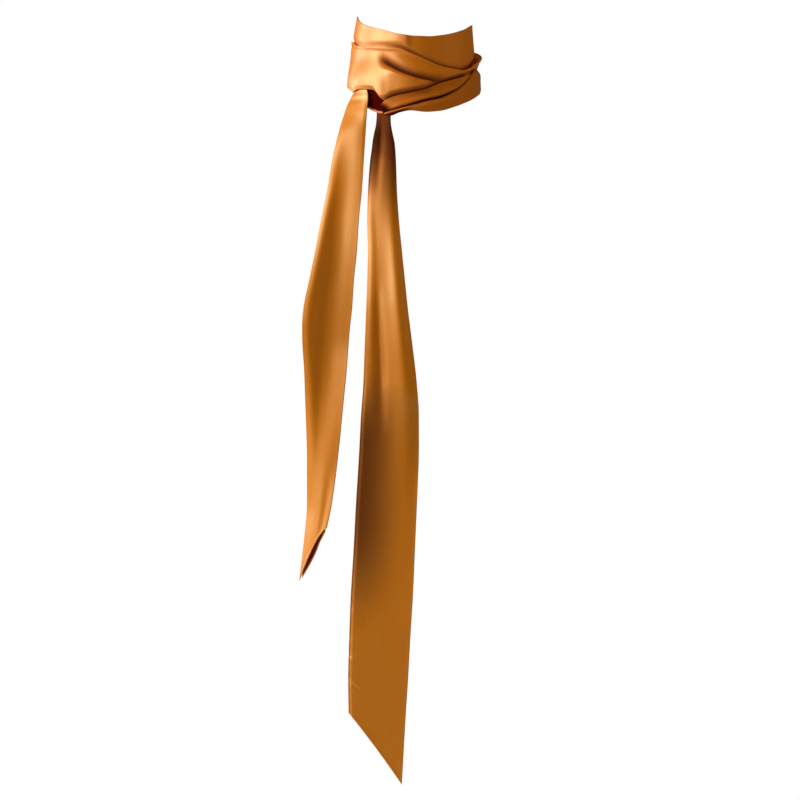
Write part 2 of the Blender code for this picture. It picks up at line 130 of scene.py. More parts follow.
floor_paint.node_tree.links.new(tones.outputs["Color"], paint.inputs["Base Color"])
floor_mesh.materials.append(floor_paint)

# The inner turn
# The first turn of the strip, a smooth band all round the neck. The strip is silk satin, folded
# lengthwise, sewn along one edge, turned right side out and pressed, so each of its edges is a
# soft fold of two plies. Nothing fixes it but the turn that lies on it.

# Sizes are in millimetres. Angles go round the neck in degrees: 0 is the front, 90 is the
# viewer's right and 180 the back. A lift is the distance out from the neck hollow.
MM = 0.001
WALL = 1.3
PLAY = 0.35
LAYER = WALL + PLAY
ARC_PER_DEGREE = 1.06
FULL_TURN = 360.0

# Half the thickness of the two plies, where they are pressed flat and at a folded edge.
FLAT_HALF = 0.42
FOLD_HALF = 0.62
FOLD_SOFTENS = 1.5

Neck = namedtuple("Neck", "height half_breadth half_depth shift")
NECK = [
    Neck(-70, 61.0, 62.4, 0.6),
    Neck(-30, 59.2, 60.4, 0.6),
    Neck(6, 56.2, 57.3, 0.9),
    Neck(40, 52.0, 53.0, 2.4),
]

Band = namedtuple("Band", "angle top bottom")
INNER_TURN = [
    Band(-180, 23.8, -34.0),
    Band(-135, 29.0, -32.0),
    Band(-105, 35.0, -30.5),
    Band(-91, 36.9, -30.0),
    Band(-80, 34.0, -30.5),
    Band(-69, 29.4, -33.0),
    Band(-54, 23.6, -38.0),
    Band(-41, 20.0, -42.0),
    Band(-28, 16.2, -45.0),
    Band(-13, 11.8, -46.5),
    Band(0, 9.8, -47.0),
    Band(13, 9.6, -46.5),
    Band(25, 11.2, -45.0),
    Band(37, 13.8, -43.0),
    Band(55, 19.2, -38.0),
    Band(78, 26.6, -31.0),
    Band(91, 28.4, -30.0),
    Band(110, 26.0, -30.5),
    Band(135, 23.4, -32.0),
    Band(180, 23.8, -34.0),
]

# A crease runs from one angle and height to another, bowed to its left by bow at its middle.
# Its flanks fade over left and right, seen along its run, and depth is how far it stands out.
Crease = namedtuple("Crease", "angle height to_angle to_height bow left right depth")
CREASE_TAPER = 0.8
INNER_CREASES = [
    Crease(-6, -10, -8, 36, 0.0, 14.0, 4.5, 3.4),
    Crease(3, -10, 2, 36, 0.0, 9.0, 17.0, 2.0),
    Crease(-88, 26, -52, 8, 1.5, 4.0, 6.0, 0.35),
    Crease(20, 9, 66, 2, -1.0, 3.5, 5.0, 0.35),
    Crease(98, 22, 150, 8, 1.0, 4.0, 6.0, 0.5),
    Crease(-172, 21, -120, 24, 1.0, 3.0, 5.0, 0.4),
]


def smooth(rows, column, places):
    """Read one column of a table between its rows, on a curve that never overshoots."""
    knots = np.array([row[0] for row in rows], float)
    values = np.array([getattr(row, column) for row in rows], float)
    spans = np.diff(knots)
    slopes = np.diff(values) / spans
    before = slopes[:-1]
    after = slopes[1:]
    same_way = before * after > 0
    total = np.where(same_way, before + after, 1.0)
    middle = np.where(same_way, 2 * before * after / total, 0.0)
    tangents = np.concatenate([slopes[:1], middle, slopes[-1:]])
    places = np.clip(places, knots[0], knots[-1])
    spot = np.clip(np.searchsorted(knots, places, side="right") - 1, 0, len(spans) - 1)
    share = (places - knots[spot]) / spans[spot]
    rest = 1 - share
    start = values[spot] * (1 + 2 * share) * rest * rest
    end = values[spot + 1] * (3 - 2 * share) * share * share
    lead_in = tangents[spot] * share * rest * rest
    lead_out = tangents[spot + 1] * share * share * rest
    return start + end + spans[spot] * (lead_in - lead_out)


def ease(value, low, high):
    """Go from 0 to 1 between low and high, softly at both ends."""
    share = np.clip((value - low) / (high - low), 0, 1)
    return share * share * (3 - 2 * share)


def mix(first, second, share):
    return first + (second - first) * share


def bell(off, width):
    """1 in the middle, and fading softly to nothing over about twice the width on each side."""
    share = off / width
    return np.exp(-share * share)


def neck_point(angle, height, lift):
    """Points at angles and heights round the neck, lifted out from its hollow."""
    turn = np.radians(angle)
    x = smooth(NECK, "shift", height) + (smooth(NECK, "half_breadth", height) + lift) * np.sin(turn)
    y = -(smooth(NECK, "half_depth", height) + lift) * np.cos(turn)
    return np.stack(np.broadcast_arrays(x, y, height), -1)


def creased(creases, angle, height):
    """How far a list of creases pushes a band out at each angle and height."""
    total = np.zeros(np.broadcast(angle, height).shape)
    for crease in creases:
        run = (crease.to_angle - crease.angle) * ARC_PER_DEGREE
        rise = crease.to_height - crease.height
        length = math.hypot(run, rise)
        x = (angle - crease.angle) * ARC_PER_DEGREE
        z = height - crease.height
        along = (x * run + z * rise) / length ** 2
        off = (z * run - x * rise) / length - crease.bow * 4 * along * (1 - along)
        flank = np.where(off > 0, crease.left, crease.right)
        taper = np.sin(np.pi * np.clip(along, 0, 1)) ** CREASE_TAPER
        total += crease.depth * taper * bell(off, flank)
    return total


# Distances from an edge at which its fold needs points.
FOLD_POINTS = np.array([0, 0.06, 0.2, 0.42, 0.7, 1.05, 1.45, 1.9, 2.4, 3.0, 3.7])


def spread(length, step):
    """Shares of a length from 0 to 1: fine near both ends, for the folds, and even between."""
    fine = FOLD_POINTS / length
    count = max(2, round((1 - 2 * fine[-1]) * length / step))
    even = np.linspace(fine[-1], 1 - fine[-1], count + 1)
    return np.concatenate([fine[:-1], even, 1 - fine[-2::-1]])


def ply_half(edge):
    """Half the thickness of the two plies at a distance from the strip's folded edge."""
    rolled = np.sqrt(np.clip(edge * (2 * FOLD_HALF - edge), 0, None))
    pressed = mix(FLAT_HALF, FOLD_HALF, np.exp(-np.clip(edge - FOLD_HALF, 0, None) / FOLD_SOFTENS))
    return np.where(edge < FOLD_HALF, rolled, pressed)


def outward(middle, closed=False):
    """Unit directions out of a sheet of points [along][across], on the side that shows."""
    if closed:
        ahead = np.roll(middle, -1, 0) - np.roll(middle, 1, 0)
    else:
        ahead = np.gradient(middle, axis=0)
    aside = np.gradient(middle, axis=1)
    out = np.cross(ahead, aside)
    return out / np.linalg.norm(out, axis=-1, keepdims=True)


def measured(middle, closed):
    """How far across a sheet each of its points is, and how far along it each row is."""
    steps = np.linalg.norm(np.diff(middle, axis=1), axis=-1)
    across = np.concatenate([np.zeros((len(middle), 1)), np.cumsum(steps, 1)], 1)
    spine = middle[:, middle.shape[1] // 2]
    spine = np.concatenate([spine, spine[:1]]) if closed else spine
    along = np.concatenate([[0], np.cumsum(np.linalg.norm(np.diff(spine, axis=0), axis=-1))])
    return across, along


def two_ply(name, middle, half, closed=False, shade=None):
    """Cloth of two plies about points [along][across], which meet in a fold at its edges."""
    along, across = half.shape
    edge = np.zeros((along, across), bool)
    edge[:, [0, -1]] = True
    if not closed:
        edge[[0, -1], :] = True
    off = outward(middle, closed) * np.where(edge, 0.0, half)[..., None]
    front = (middle + off).reshape(-1, 3)
    back = (middle - off)[~edge]
    front_index = np.arange(along * across).reshape(along, across)
    back_index = front_index.copy()
    back_index[~edge] = along * across + np.arange(len(back))

    # A corner of a face has a row and a column. Between them stands its place along the run,
    # which goes on past the last row where a ring closes on its first.
    last = along if closed else along - 1
    row, column = np.meshgrid(np.arange(last), np.arange(across - 1), indexing="ij")
    row = row.ravel()
    column = column.ravel()
    after = (row + 1) % along
    corners = [(row, row, column), (after, row + 1, column),
               (after, row + 1, column + 1), (row, row, column + 1)]
    turned_over = corners[:1] + corners[:0:-1]
    width_at, length_at = measured(middle, closed)
    faces = []
    places = []
    for index, order in ((front_index, corners), (back_index, turned_over)):
        faces.append(np.stack([index[i, j] for i, _, j in order], 1))
        spots = [np.stack([width_at[i, j], length_at[run]], 1) for i, run, j in order]
        places.append(np.stack(spots, 1))
    faces = np.concatenate(faces)
    places = np.concatenate(places).reshape(-1, 2) * MM

    data = bpy.data.meshes.new(name)
    data.from_pydata((np.concatenate([front, back]) * MM).tolist(), [], faces.tolist())
    data.uv_layers.new(name="strip").data.foreach_set("uv", places.astype(np.float32).ravel())
    # shade is painted shade on the front ply; the back ply gets none.
    depth = np.zeros((along, across)) if shade is None else np.broadcast_to(shade, (along, across))
    depth = np.concatenate([depth.ravel(), np.zeros(len(back))]).astype(np.float32)
    data.attributes.new("painted_shade", "FLOAT", "POINT").data.foreach_set("value", depth)
    data.shade_smooth()
    piece = bpy.data.objects.new(name, data)
    bpy.context.scene.collection.objects.link(piece)
    return piece


def band(name, rows, angles, shares, lift, closed=False, shade=None):
    """A stretch of the strip round the neck, between the bottom and top of a table's rows.

    At angles and heights, lift gives its inner side and shade how much painted shade it takes."""
    angle = angles[:, None]
    foot = smooth(rows, "bottom", angle)
    width = smooth(rows, "top", angle) - foot
    height = foot + width * shares
    middle = neck_point(angle, height, lift(angle, height) + WALL / 2)
    edge = np.minimum(shares, 1 - shares) * width
    if not closed:
        end = np.minimum(angle - angles[0], angles[-1] - angle) * ARC_PER_DEGREE
        edge = np.minimum(edge, end)
    dark = shade(angle, height) if shade else None
    return two_ply(name, middle, ply_half(edge), closed, dark)


# The neck's amber is redder than the tails' golden amber of the same cloth: painted bounce light
# between the turns.
AMBER = (0.56, 0.150, 0.002)
# The dark amber is painted shade, blended in by each piece's shade.
PAINTED_SHADE_AMBER = (0.09, 0.003, 0.001)
SATIN_IOR = 1.6
SATIN_ROUGHNESS = 0.38
FLOATS_STRETCH_GLINTS = 0.3
GLINT_TINT = (1.0, 0.80, 0.42, 1.0)
FUZZ = 0.04
FUZZ_ROUGHNESS = 0.3
FUZZ_TINT = (1.0, 0.78, 0.50, 1.0)
STREAKS_PER_METRE = (520.0, 9.0)
CLOUDS_PER_METRE = (26.0, 14.0)
PALE_DYE = 1.12
DULL_DYE = 0.86
STREAKS_IN_DYE = 0.6
CLOUDS_IN_DYE = 0.35
STREAKS_IN_ROUGHNESS = 0.08
FOLDS_IN_ROUGHNESS = 0.45
PAINTED_SHADE_TINTS_SHINE = 0.85
THREADS_PER_METRE = 2600.0
THREAD_WAVERS_PER_METRE = 60.0
THREAD_WAVERS_BY = 0.6
FLOAT_SCALE = (700.0, 280.0)
THREADS_IN_WEAVE = 0.6
FLOATS_IN_WEAVE = 0.4
WEAVE_DEPTH = 0.00005
WEAVE_STRENGTH = 0.06

# A texture of straight waves has this many to each unit of its scale.
WAVES_PER_UNIT = 20 / math.tau


def satin(name, amber, shaded, gloss, rough=SATIN_ROUGHNESS):
    """Satin with its floats along the strip: glossy across them, with fine streaks along them.

    amber is its dye in the open; the second colour is painted shade, laid on in folds, grooves
    and under other layers. Where it is painted, the shine takes its colour too, as a metal's does:
    a painted reflection of light that has met the cloth many times."""
    material = bpy.data.materials.new(name)
    material.use_nodes = True
    nodes = material.node_tree.nodes
    link = material.node_tree.links.new
    shader = nodes["Principled BSDF"]
    shader.inputs["IOR"].default_value = SATIN_IOR
    shader.inputs["Specular IOR Level"].default_value = gloss
    shader.inputs["Specular Tint"].default_value = GLINT_TINT
    shader.inputs["Anisotropic"].default_value = FLOATS_STRETCH_GLINTS
    shader.inputs["Sheen Weight"].default_value = FUZZ * gloss
    shader.inputs["Sheen Roughness"].default_value = FUZZ_ROUGHNESS
    shader.inputs["Sheen Tint"].default_value = FUZZ_TINT

    place = nodes.new("ShaderNodeUVMap")
    place.uv_map = "strip"
    across = nodes.new("ShaderNodeTangent")
    across.direction_type = "UV_MAP"
    across.uv_map = "strip"
    link(across.outputs["Tangent"], shader.inputs["Tangent"])

    def stretched(sideways, lengthways):
        scaled = nodes.new("ShaderNodeVectorMath")
        scaled.operation = "MULTIPLY"
        scaled.inputs[1].default_value = (sideways, lengthways, 1.0)
        link(place.outputs["UV"], scaled.inputs[0])
        return scaled.outputs["Vector"]

    def noise(sideways, lengthways, detail):
        cloud = nodes.new("ShaderNodeTexNoise")
        cloud.inputs["Scale"].default_value = 1.0
        cloud.inputs["Detail"].default_value = detail
        link(stretched(sideways, lengthways), cloud.inputs["Vector"])
        return cloud.outputs["Fac"]

    def calculated(operation, first, second):
        maths = nodes.new("ShaderNodeMath")
        maths.operation = operation
        for socket, value in zip(maths.inputs, (first, second)):
            if isinstance(value, float):
                socket.default_value = value
            else:
                link(value, socket)
        return maths.outputs["Value"]

    def blended(share, first, second):
        mixed = nodes.new("ShaderNodeMix")
        mixed.data_type = "RGBA"
        link(share, mixed.inputs["Factor"])
        for socket, value in ((mixed.inputs["A"], first), (mixed.inputs["B"], second)):
            if isinstance(value, tuple):
                socket.default_value = (*value, 1.0)
            else:
                link(value, socket)
        return mixed.outputs["Result"]

    streaks = noise(*STREAKS_PER_METRE, detail=3.0)
    clouds = noise(*CLOUDS_PER_METRE, detail=2.0)
    pale = tuple(min(1.0, c * PALE_DYE) for c in amber)
    dull = tuple(c * DULL_DYE for c in amber)
    dye = blended(calculated("MULTIPLY_ADD", streaks, STREAKS_IN_DYE), dull, pale)
    cloudy = blended(calculated("MULTIPLY", clouds, CLOUDS_IN_DYE), dye, dull)
    # Painted shade: the mesh's shade attribute blends the dye into the shade colour, roughens it
    # and tints its shine.
    painted_shade = nodes.new("ShaderNodeAttribute")
    painted_shade.attribute_name = "painted_shade"
    depth = painted_shade.outputs["Fac"]
    link(blended(depth, cloudy, shaded), shader.inputs["Base Color"])
    streaked = calculated("ADD", calculated("MULTIPLY", streaks, STREAKS_IN_ROUGHNESS), rough)
    folded_in = calculated("MULTIPLY", depth, FOLDS_IN_ROUGHNESS)
    link(calculated("ADD", streaked, folded_in), shader.inputs["Roughness"])
    link(calculated("MULTIPLY", depth, PAINTED_SHADE_TINTS_SHINE), shader.inputs["Metallic"])

    threads = nodes.new("ShaderNodeTexWave")
    threads.bands_direction = "X"
    threads.inputs["Scale"].default_value = 1.0
    threads.inputs["Distortion"].default_value = THREAD_WAVERS_BY
    thread_places = stretched(THREADS_PER_METRE / WAVES_PER_UNIT, THREAD_WAVERS_PER_METRE)
    link(thread_places, threads.inputs["Vector"])
    floats = nodes.new("ShaderNodeTexWave")
    floats.bands_direction = "DIAGONAL"
    floats.inputs["Scale"].default_value = 1.0
    link(stretched(*FLOAT_SCALE), floats.inputs["Vector"])
    weave = calculated("ADD", calculated("MULTIPLY", threads.outputs["Fac"], THREADS_IN_WEAVE),
                       calculated("MULTIPLY", floats.outputs["Fac"], FLOATS_IN_WEAVE))
    bump = nodes.new("ShaderNodeBump")
    bump.inputs["Strength"].default_value = WEAVE_STRENGTH
    bump.inputs["Distance"].default_value = WEAVE_DEPTH
    link(weave, bump.inputs["Height"])
    link(bump.outputs["Normal"], shader.inputs["Normal"])
    return material


def finish_cloth(piece, node, material):
    """Give a stretch of cloth its satin and its place in the frame, and hide the solid it stands
    for.
    """
    piece.data.materials.append(material)
    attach(piece, "root")
    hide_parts(node)


def ring(count):
    """Angles all round the neck."""
    return np.linspace(-180, 180, count, endpoint=False)


# The outer turn hides this one below its own upper edge.
Edge = namedtuple("Edge", "angle top")
OUTER_TURN_TOP = [
    Edge(-180, 18.0),
    Edge(-122, 16.5),
    Edge(-88, 12.0),
    Edge(-57, 3.8),
    Edge(-14, -1.5),
    Edge(11, -12.6),
    Edge(31, -19.2),
    Edge(46, -20.3),
    Edge(58, -17.2),
    Edge(90, -2.0),
    Edge(135, 11.5),
    Edge(180, 18.0),
]
INNER_FULLNESS = 1.4
INNER_FILLS_OVER = 6.0
# Painted shade under the outer turn's upper edge: its strength at the left and right, where it
# darkens and pales, and its width.
INNER_DARK = (0.1, 0.85)
INNER_DARKENS = (-24, -4)
INNER_PALES = (70, 110)
INNER_DARK_WIDTH = 1.8


def inner_lift(angle, height):
    """The band is drawn in where it goes under the outer turn, and full above it."""
    shows = ease(height - smooth(OUTER_TURN_TOP, "top", angle), 0.0, INNER_FILLS_OVER)
    return shows * (INNER_FULLNESS + creased(INNER_CREASES, angle, height))


def inner_shade(angle, height):
    """Painted shade where the band goes under the outer turn, most at the right."""
    shaded = mix(*INNER_DARK, ease(angle, *INNER_DARKENS)) * (1 - ease(angle, *INNER_PALES))
    return shaded * bell(height - smooth(OUTER_TURN_TOP, "top", angle), INNER_DARK_WIDTH)


silk = satin("amber_satin", AMBER, PAINTED_SHADE_AMBER, gloss=1.0)
inner_turn = band("inner_turn_cloth", INNER_TURN, ring(count=400), spread(length=57.0, step=1.4),
                  inner_lift, closed=True, shade=inner_shade)
finish_cloth(inner_turn, "inner_turn",
             material=silk)

# The outer turn
# The second turn lies on the first. It is spread wide over the viewer's left and gathered at the
# right, where its upper fold stands off in a loop. One long trough runs down across its front.

OuterTurn = namedtuple("OuterTurn", "angle top bottom full top_flare bottom_flare")
OUTER_TURN = [
    OuterTurn(-180, 18.0, -33.0, 0.3, 0.0, 0.0),
    OuterTurn(-150, 18.5, -35.0, 0.5, 0.0, 0.0),
    OuterTurn(-122, 16.5, -34.0, 0.6, 0.0, 0.0),
    OuterTurn(-100, 13.5, -31.5, 0.1, 0.0, 0.0),
    OuterTurn(-88, 12.0, -29.9, 0.0, 0.0, 0.2),
    OuterTurn(-77, 10.5, -31.5, 0.1, 0.0, 2.0),
    OuterTurn(-65, 5.6, -36.5, 0.5, 0.0, 4.7),
    OuterTurn(-57, 3.8, -39.8, 0.7, 0.0, 4.8),
    OuterTurn(-51, 2.8, -38.2, 0.9, 0.0, 4.8),
    OuterTurn(-40, 1.6, -39.3, 1.6, 0.0, 4.5),
    OuterTurn(-34, 0.6, -40.6, 2.5, 0.0, 3.3),
    OuterTurn(-30, 0.2, -44.6, 3.6, 0.0, 2.7),
    OuterTurn(-26, -0.3, -49.4, 4.8, 0.0, 1.8),
    OuterTurn(-21, -0.8, -54.0, 5.6, 0.0, 0.8),
    OuterTurn(-14, -1.5, -54.0, 6.3, 0.0, 0.0),
    OuterTurn(-1, -7.0, -50.0, 7.4, 0.0, 0.0),
    OuterTurn(11, -12.6, -48.0, 6.4, 0.0, 0.0),
    OuterTurn(22, -17.2, -46.0, 4.9, 0.0, 0.0),
    OuterTurn(31, -19.2, -44.0, 3.8, 0.2, 0.0),
    OuterTurn(46, -20.3, -41.0, 3.0, 0.8, 0.0),
    OuterTurn(58, -17.2, -37.0, 2.0, 1.8, 0.0),
    OuterTurn(69, -11.0, -33.0, 1.0, 3.6, 0.0),
    OuterTurn(80, -6.5, -31.0, 0.2, 5.2, 0.0),
    OuterTurn(90, -2.0, -30.0, 0.0, 6.0, 0.0),
    OuterTurn(103, 3.0, -30.0, 0.0, 5.6, 0.0),
    OuterTurn(118, 7.5, -30.0, 0.2, 3.2, 0.0),
    OuterTurn(135, 11.5, -30.0, 0.3, 0.8, 0.0),
    OuterTurn(150, 14.5, -30.0, 0.3, 0.0, 0.0),
    OuterTurn(180, 18.0, -33.0, 0.3, 0.0, 0.0),
]
BOTTOM_FLARE_HOLDS = 6.0
BOTTOM_FLARE_REACH = 32.0
TOP_ROLL = 0.8
TOP_ROLL_WIDTH = 2.0
TOP_ROLL_BELOW_EDGE = 1.0
DRAWN_IN_OVER = 4.0
TOP_SETTLES_FROM = 0.40
TOP_SETTLES_BY = 0.80

# One long trough runs down across the front, with a crest along its lower side. It starts wide
# and soft at the left. Its dark column is painted shade in the trough.
Trough = namedtuple("Trough", "angle height crest sink dark")
FRONT_TROUGH = [
    Trough(-44, -1.0, 0.0, 0.0, 0.0),
    Trough(-35, -7.0, 0.3, 0.0, 0.0),
    Trough(-30, -11.4, 0.8, 0.8, 0.2),
    Trough(-27, -14.2, 1.3, 2.0, 0.7),
    Trough(-22, -17.8, 1.8, 3.4, 0.95),
    Trough(-16, -21.4, 2.1, 4.3, 0.95),
    Trough(-10, -24.8, 2.2, 4.8, 0.95),
    Trough(-3, -28.1, 2.2, 4.7, 0.9),
    Trough(6, -31.5, 1.9, 4.0, 0.85),
    Trough(16, -33.2, 1.2, 2.8, 0.75),
    Trough(26, -33.6, 0.4, 1.4, 0.5),
    Trough(36, -31.0, 0.0, 0.0, 0.0),
]
CREST_WIDTH = 9.0
CREST_TURNS_IN = 1.3
CREST_TURNS_FROM_BELOW = 3.0
TROUGH_WIDTH = 8.5
TROUGH_STARTS_WIDER = 2.6
TROUGH_NARROWS = (-32, -16)
# Painted shade in the trough starts and fades over these distances from its line.
TROUGH_DARK_STARTS = (-1.8, 0.6)
TROUGH_DARK_HOLDS = 1.0
TROUGH_DARK_REACH = (13.0, 8.5)
TROUGH_DARK_NARROWS = (-20, 10)

OUTER_CREASES = [
    Crease(-70, -4, -44, -30, 2.0, 7.0, 8.0, 0.5),
    Crease(102, 0, 160, 6, 1.5, 4.0, 3.0, 0.9),
    Crease(96, -10, 150, -14, -2.0, 3.0, 5.0, 0.7),
    Crease(-176, 4, -118, -6, 2.0, 5.0, 3.0, 0.9),
    Crease(-150, -16, -92, -22, -2.0, 4.0, 4.0, 0.8),
    Crease(-128, 12, -84, 2, 1.0, 3.0, 4.0, 0.5),
]
CREASES_SHOW_OVER = 2.5

# The crossing band hides the foot of this turn at the front, and at the back left with the end
# of its run.
Strand = namedtuple("Strand", "angle top bottom lift puff")
CROSSING_BAND = [
    Strand(-28, -55.8, -59.2, 4.4, 0.0),
    Strand(-26, -53.2, -60.8, 4.5, 0.2),
    Strand(-23, -50.2, -61.0, 4.6, 0.5),
    Strand(-15, -47.0, -60.5, 4.4, 0.9),
    Strand(-3, -44.2, -59.0, 4.0, 1.1),
    Strand(11, -40.2, -57.0, 3.6, 1.1),
    Strand(25, -33.9, -53.0, 3.4, 0.9),
    Strand(38, -29.5, -49.0, 3.3, 0.6),
    Strand(52, -25.0, -43.0, 3.3, 0.3),
    Strand(70, -19.5, -38.0, 3.3, 0.0),
    Strand(90, -18.0, -33.0, 3.3, 0.0),
    Strand(105, -11.0, -31.0, 3.3, 0.2),
    Strand(120, -4.0, -31.0, 3.3, 0.6),
    Strand(150, 5.0, -31.0, 3.3, 0.8),
    Strand(175, 9.0, -31.0, 3.3, 0.6),
    Strand(198, 6.0, -27.0, 3.5, 0.3),
    Strand(214, -2.0, -21.0, 3.7, 0.1),
    Strand(227, -9.5, -14.0, 3.8, 0.0),
]
BAND_CLEARANCE = 1.5
UNDER_BAND_FROM = (-34.0, -14.0)
UNDER_BAND_END_TO = (-140.0, -126.0)
# Painted shadows where the turn goes under the crossing band.
UNDER_BAND_DARKENS = (-32, -18)
UNDER_BAND_PALES = (48, 57)
Shadow = namedtuple("Shadow", "depth width")
UNDER_BAND_SHADOWS = [Shadow(0.45, 3.6), Shadow(0.5, 1.8)]


def between(value, rises, falls):
    """Go from 0 to 1 over the first range and back to 0 over the second."""
    return ease(value, *rises) * (1 - ease(value, *falls))


def trough_wider(angle):
    """How much wider than elsewhere the trough's lower side is, towards its left end."""
    return mix(TROUGH_STARTS_WIDER, 1.0, ease(angle, *TROUGH_NARROWS))


def outer_lift(angle, height):
    """The outer turn lies on the inner one, swells over the front and dips in one long trough."""
    top = smooth(OUTER_TURN, "top", angle)
    own_foot = smooth(OUTER_TURN, "bottom", angle)
    right_foot = smooth(CROSSING_BAND, "top", angle) + BAND_CLEARANCE
    back_foot = smooth(CROSSING_BAND, "top", angle + FULL_TURN) + BAND_CLEARANCE
    foot = mix(own_foot, right_foot, ease(angle, *UNDER_BAND_FROM))
    foot = mix(back_foot, foot, ease(angle, *UNDER_BAND_END_TO))
    share = np.clip((height - foot) / (top - foot), 0, 1)
    settled = 1 - TOP_SETTLES_BY * ease(share, TOP_SETTLES_FROM, 1.0)
    swell = smooth(OUTER_TURN, "full", angle) * ease(height - foot, 0, DRAWN_IN_OVER) * settled

    away = height - smooth(FRONT_TROUGH, "height", angle)
    turns_in = CREST_TURNS_IN * trough_wider(angle)
    above = ease(away, -CREST_TURNS_FROM_BELOW * turns_in, turns_in)
    crest = smooth(FRONT_TROUGH, "crest", angle) * bell(away, CREST_WIDTH)
    sink = smooth(FRONT_TROUGH, "sink", angle) * bell(away, TROUGH_WIDTH)
    trough = above * sink - (1 - above) * crest

    flare = smooth(OUTER_TURN, "top_flare", angle) * share
    flare = flare + TOP_ROLL * bell(top - height - TOP_ROLL_BELOW_EDGE, TOP_ROLL_WIDTH)
    near_foot = 1 - ease(height - own_foot, BOTTOM_FLARE_HOLDS, BOTTOM_FLARE_REACH)
    flare = flare + smooth(OUTER_TURN, "bottom_flare", angle) * near_foot
    shows = ease(height - foot, 0.0, CREASES_SHOW_OVER)
    form = swell - trough + shows * creased(OUTER_CREASES, angle, height)
    return LAYER + np.clip(form, 0, None) + flare


def outer_shade(angle, height):
    """Painted shade in the trough, and painted shadow where the turn goes under the crossing band.
    """
    away = height - smooth(FRONT_TROUGH, "height", angle)
    low, high = TROUGH_DARK_STARTS
    above = ease(away, low * trough_wider(angle), high * trough_wider(angle))
    reach = mix(*TROUGH_DARK_REACH, ease(angle, *TROUGH_DARK_NARROWS))
    fades = 1 - ease(away, TROUGH_DARK_HOLDS, reach)
    trough = smooth(FRONT_TROUGH, "dark", angle) * above * fades
    off = height - smooth(CROSSING_BAND, "top", angle)
    under = sum(shadow.depth * bell(off, shadow.width) for shadow in UNDER_BAND_SHADOWS)
    return np.maximum(trough, between(angle, UNDER_BAND_DARKENS, UNDER_BAND_PALES) * under)


outer_turn = band("outer_turn_cloth", OUTER_TURN, ring(count=500), spread(length=50.0, step=0.55),
                  outer_lift, closed=True, shade=outer_shade)
finish_cloth(outer_turn, "outer_turn",
             material=silk)

# The crossing band
# The upper of two gathered strands, which comes out of the knot, crosses the front and goes round
# the viewer's right to the back, where it flattens out on the outer turn that it is part of.

# The lower strand, which lies on this band and hides its lower side.
LOWER_STRAND = [
    Strand(-24, -62.8, -65.4, 0.0, 0.0),
    Strand(-18, -61.2, -65.9, 0.0, 0.4),
    Strand(-10, -58.9, -62.8, 0.0, 0.9),
    Strand(-2, -56.3, -61.2, 0.0, 1.1),
    Strand(10, -52.0, -62.4, 0.0, 1.5),
    Strand(22, -48.5, -61.0, 0.0, 1.7),
    Strand(36, -41.0, -56.2, 0.0, 1.6),
    Strand(48, -32.4, -51.3, 0.0, 1.3),
    Strand(56, -25.6, -48.0, 0.0, 1.0),
    Strand(66, -18.3, -43.6, 0.0, 0.7),
    Strand(78, -15.8, -39.8, 0.0, 0.4),
    Strand(90, -15.6, -35.9, 0.0, 0.3),
    Strand(105, -13.0, -34.5, 0.0, 0.5),
    Strand(120, -9.0, -34.0, 0.0, 1.1),
    Strand(150, -3.0, -35.0, 0.0, 1.2),
    Strand(175, 1.0, -35.0, 0.0, 1.1),
    Strand(198, -3.0, -34.5, 0.0, 0.6),
    Strand(214, -11.0, -31.0, 0.0, 0.2),
    Strand(224, -19.0, -26.0, 0.0, 0.0),
]
CROSSING_CREASES = [
    Crease(60, -26, 130, -22, 2.0, 2.5, 3.5, 0.5),
    Crease(120, -8, 205, -6, 2.5, 3.0, 4.0, 0.8),
    Crease(130, 0, 190, 4, 1.0, 2.0, 3.0, 0.5),
]
CROSSING_CREASES_SHOW = (0.5, 3.0)
HEM_RIDGE = 2.2
HEM_ABOVE_STRAND = (2.8, 1.4)
HEM_NEARS_STRAND = (22, 46)
HEM_UPPER_FLANK = 3.2
HEM_LOWER_FLANK = 1.0
HEM_RISES = (-22, -8)
HEM_FALLS = (55, 80)
# Painted shade in the groove under the hem.
HEM_GROOVE = (-1.4, -0.2)
HEM_GROOVE_DARK = 0.95
HEM_GROOVE_PALES = (60, 80)
# The strands' dark red is painted shade, and their amber is a darker copy of the neck's: painted
# shade over the strands.
PAINTED_SHADE_RED = (0.055, 0.002, 0.001)
SHADED_GATHERED_AMBER = (0.43, 0.118, 0.008)

# The knot's painted shadow pales between two angles at the band's top, and each is so many
# degrees further on for a millimetre down.
KNOT_DARK_PALES = (-28, -24)
KNOT_DARK_WIDENS = (0.55, 0.95)


def run(rows, count):
    """Angles over the run that a table's rows cover."""
    return np.linspace(rows[0].angle, rows[-1].angle, count)


def strand_lift(rows, angle, height, base):
    """A gathered strand is puffed out between its edges."""
    top = smooth(rows, "top", angle)
    bottom = smooth(rows, "bottom", angle)
    share = np.clip((height - bottom) / (top - bottom), 0, 1)
    return base + smooth(rows, "puff", angle) * np.sin(np.pi * share)


def off_hem(angle, height):
    """Height above the ridge of the band's lower hem, which shows just above the lower strand."""
    above = mix(*HEM_ABOVE_STRAND, ease(angle, *HEM_NEARS_STRAND))
    return height - smooth(LOWER_STRAND, "top", angle) - above


def crossing_lift(angle, height):
    """The band lies over the outer turn, with its lower hem standing out along the front."""
    lift = smooth(CROSSING_BAND, "lift", angle)
    shows = ease(height - smooth(LOWER_STRAND, "top", angle), *CROSSING_CREASES_SHOW)
    off = off_hem(angle, height)
    ridge = bell(off, np.where(off > 0, HEM_UPPER_FLANK, HEM_LOWER_FLANK))
    form = strand_lift(CROSSING_BAND, angle, height, lift)
    form = form + shows * creased(CROSSING_CREASES, angle, height)
    return form + HEM_RIDGE * between(angle, HEM_RISES, HEM_FALLS) * ridge


